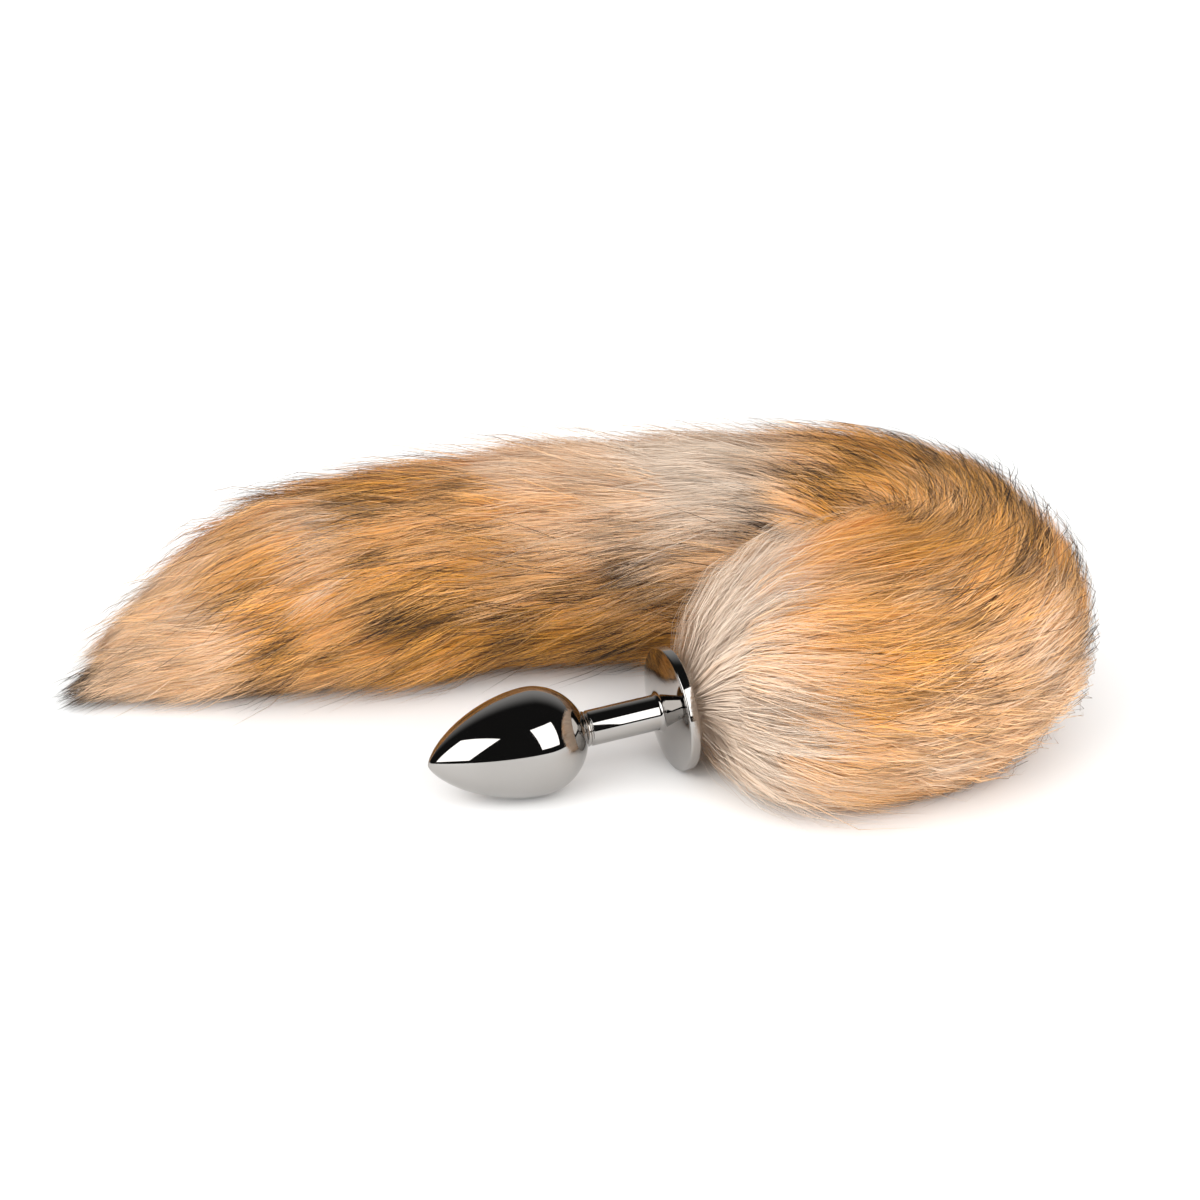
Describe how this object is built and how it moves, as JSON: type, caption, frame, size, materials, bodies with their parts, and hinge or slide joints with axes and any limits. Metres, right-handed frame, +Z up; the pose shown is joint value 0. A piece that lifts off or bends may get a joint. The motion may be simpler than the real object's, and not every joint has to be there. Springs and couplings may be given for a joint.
{
  "type": "costume fox tail plug",
  "caption": "Small polished metal plug with a tapered bulb, thin stem and domed round flange, carrying a long soft golden faux fur tail that lies in a tight bend.",
  "frame": {"origin": "middle of the whole object's footprint on the table it lies on", "axes": "+Z up; +X from the tail's tip and the plug towards the tail's bend; +Y from the plug's side to the tail's rear run"},
  "size_m": [0.2698, 0.1534, 0.0663],
  "materials": {
    "polished_metal": "mirror polished, slightly warm grey",
    "post_steel": "plain turned",
    "golden_fur": "long faux fur, golden tan with brown streaks and cream patches"
  },
  "bodies": {
    "root": {"plug_body": "polished_metal", "tail_post": "post_steel", "fur_tail": "golden_fur"}
  },
  "joints": []
}
